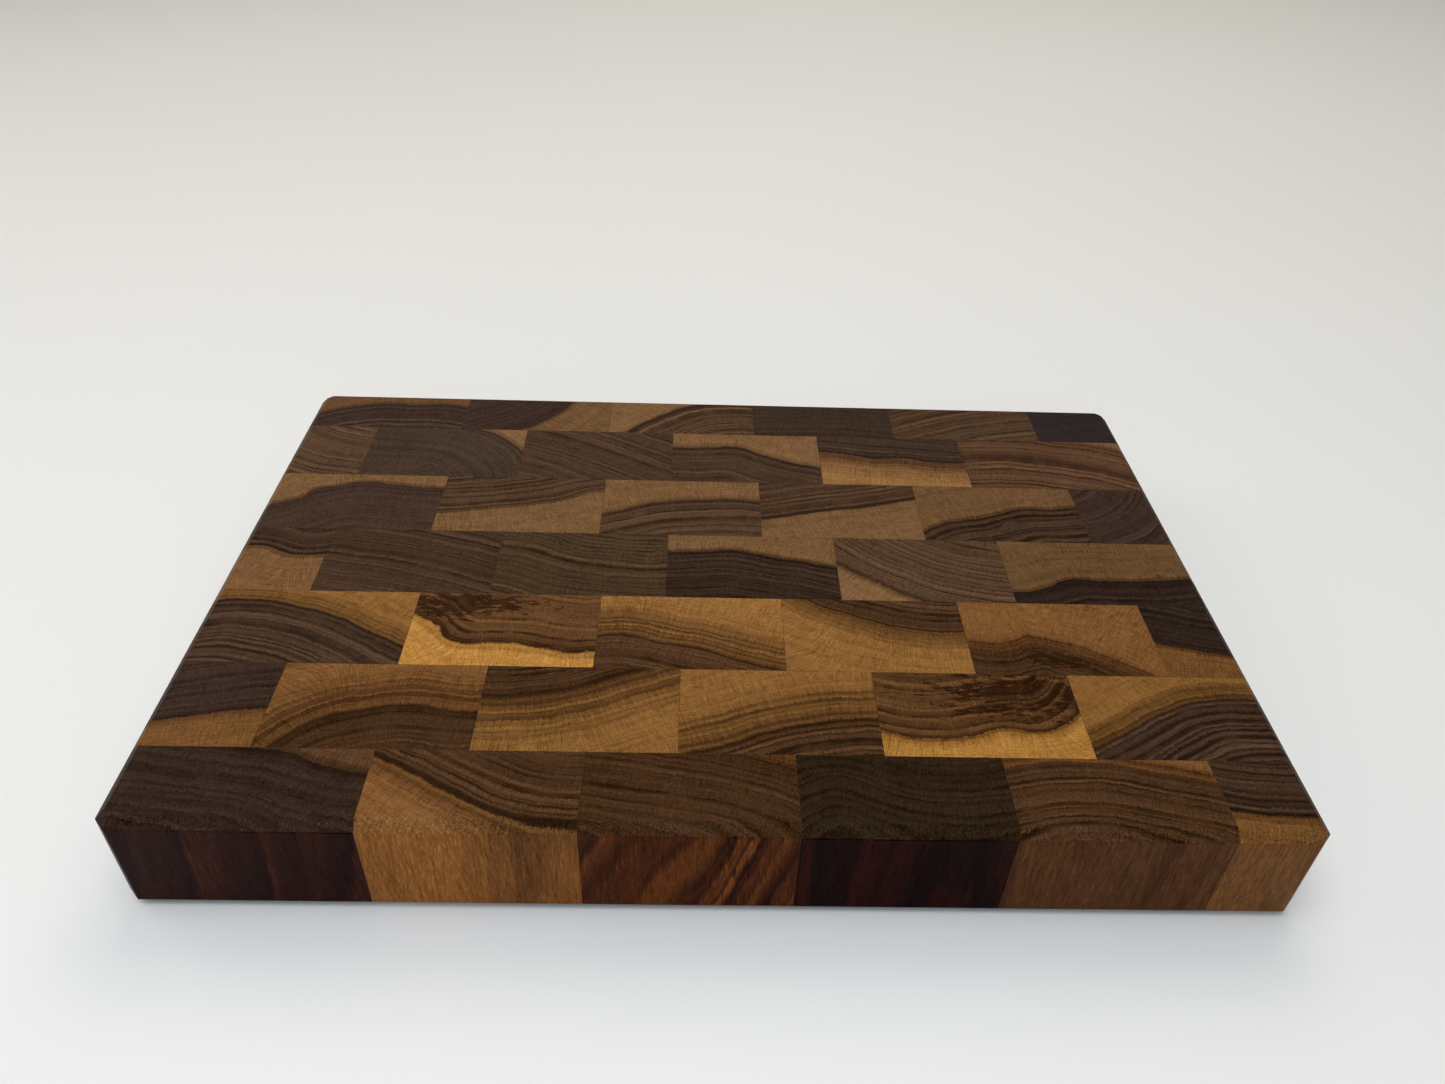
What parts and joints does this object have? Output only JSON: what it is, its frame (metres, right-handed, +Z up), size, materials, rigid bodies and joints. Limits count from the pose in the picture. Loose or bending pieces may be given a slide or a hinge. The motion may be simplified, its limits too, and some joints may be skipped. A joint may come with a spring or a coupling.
{
  "type": "end-grain cutting board",
  "caption": "Thick rectangular end-grain walnut cutting board of glued staggered blocks, with chamfered edges and clipped corners.",
  "frame": {"origin": "middle of the underside, on the plane the board rests on", "axes": "+X along the board's length, to the right of someone at the near edge; +Y across its width, from the near edge to the far edge; +Z up, along the wood's grain"},
  "size_m": [0.4572, 0.3048, 0.0508],
  "materials": {
    "dark_heartwood": "oiled satin",
    "striped_walnut": "oiled satin",
    "pale_sapwood": "oiled satin",
    "cured_glue": "matte"
  },
  "bodies": {
    "root": {"row1_block1": "striped_walnut", "row1_block2": "striped_walnut", "row1_block3": "striped_walnut", "row1_block4": "dark_heartwood", "row1_block5": "striped_walnut", "row1_block6": "dark_heartwood", "row1_end_glue": "cured_glue", "row2_block1": "striped_walnut", "row2_block2": "dark_heartwood", "row2_block3": "striped_walnut", "row2_block4": "striped_walnut", "row2_block5": "striped_walnut", "row2_block6": "striped_walnut", "row2_end_glue": "cured_glue", "row3_block1": "striped_walnut", "row3_block2": "striped_walnut", "row3_block3": "striped_walnut", "row3_block4": "striped_walnut", "row3_block5": "striped_walnut", "row3_block6": "dark_heartwood", "row3_end_glue": "cured_glue", "row4_block1": "striped_walnut", "row4_block2": "dark_heartwood", "row4_block3": "dark_heartwood", "row4_block4": "striped_walnut", "row4_block5": "striped_walnut", "row4_block6": "striped_walnut", "row4_end_glue": "cured_glue", "row5_block1": "striped_walnut", "row5_block2": "striped_walnut", "row5_block3": "pale_sapwood", "row5_block4": "pale_sapwood", "row5_block5": "pale_sapwood", "row5_block6": "dark_heartwood", "row5_end_glue": "cured_glue", "row6_block1": "dark_heartwood", "row6_block2": "pale_sapwood", "row6_block3": "pale_sapwood", "row6_block4": "pale_sapwood", "row6_block5": "striped_walnut", "row6_block6": "striped_walnut", "row6_end_glue": "cured_glue", "row7_block1": "dark_heartwood", "row7_block2": "striped_walnut", "row7_block3": "striped_walnut", "row7_block4": "dark_heartwood", "row7_block5": "striped_walnut", "row7_block6": "striped_walnut", "row7_end_glue": "cured_glue", "row1_row2_glue": "cured_glue", "row2_row3_glue": "cured_glue", "row3_row4_glue": "cured_glue", "row4_row5_glue": "cured_glue", "row5_row6_glue": "cured_glue", "row6_row7_glue": "cured_glue"}
  },
  "joints": []
}
